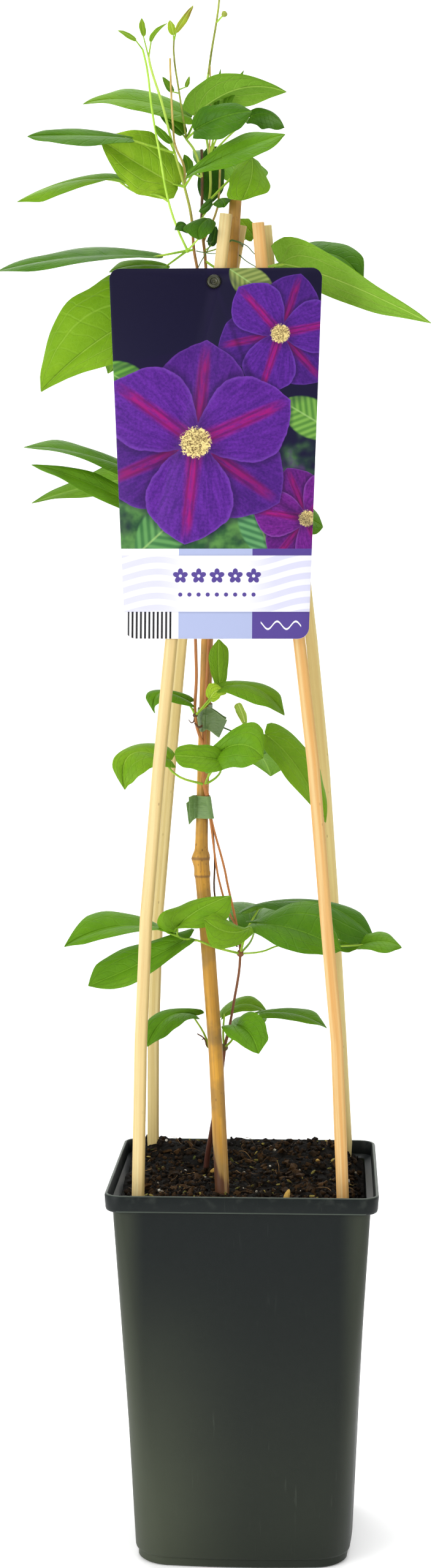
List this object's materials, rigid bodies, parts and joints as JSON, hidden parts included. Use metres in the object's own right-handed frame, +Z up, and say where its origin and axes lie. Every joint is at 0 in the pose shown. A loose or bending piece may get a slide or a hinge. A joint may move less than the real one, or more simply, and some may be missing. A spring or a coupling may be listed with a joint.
{
  "type": "potted climbing plant",
  "caption": "Climbing plant with leafy twining stems tied to a cane trellis in a square nursery pot, with a large label.",
  "frame": {"origin": "middle of the pot's underside", "axes": "+Z up, the label and the pot's front wall face -Y, +X to the right seen from the front"},
  "size_m": [0.2401, 0.1674, 0.873],
  "materials": {
    "pot_plastic": "satin, very dark green grey",
    "soil": "crumbly compost with bark",
    "cane_straw": "split bamboo, satin",
    "cane_ochre": "round bamboo, satin",
    "tape_green": "satin tying tape",
    "label_plastic": "printed, satin",
    "stud_olive": "satin",
    "leaf_green": "waxy leaf, satin"
  },
  "bodies": {
    "root": {"pot": "pot_plastic", "soil": "soil", "cane_front_left": "cane_straw", "cane_back_left": "cane_straw", "cane_front_right": "cane_straw", "cane_back_right": "cane_straw", "centre_cane": "cane_ochre", "tie_lower": "tape_green", "tie_upper": "tape_green", "tie_top": "tape_green", "label": "label_plastic", "label_stud": "stud_olive", "stem_low": "leaf_green", "stem_middle": "leaf_green", "shoot_left": "leaf_green", "shoot_right": "leaf_green"}
  },
  "joints": []
}
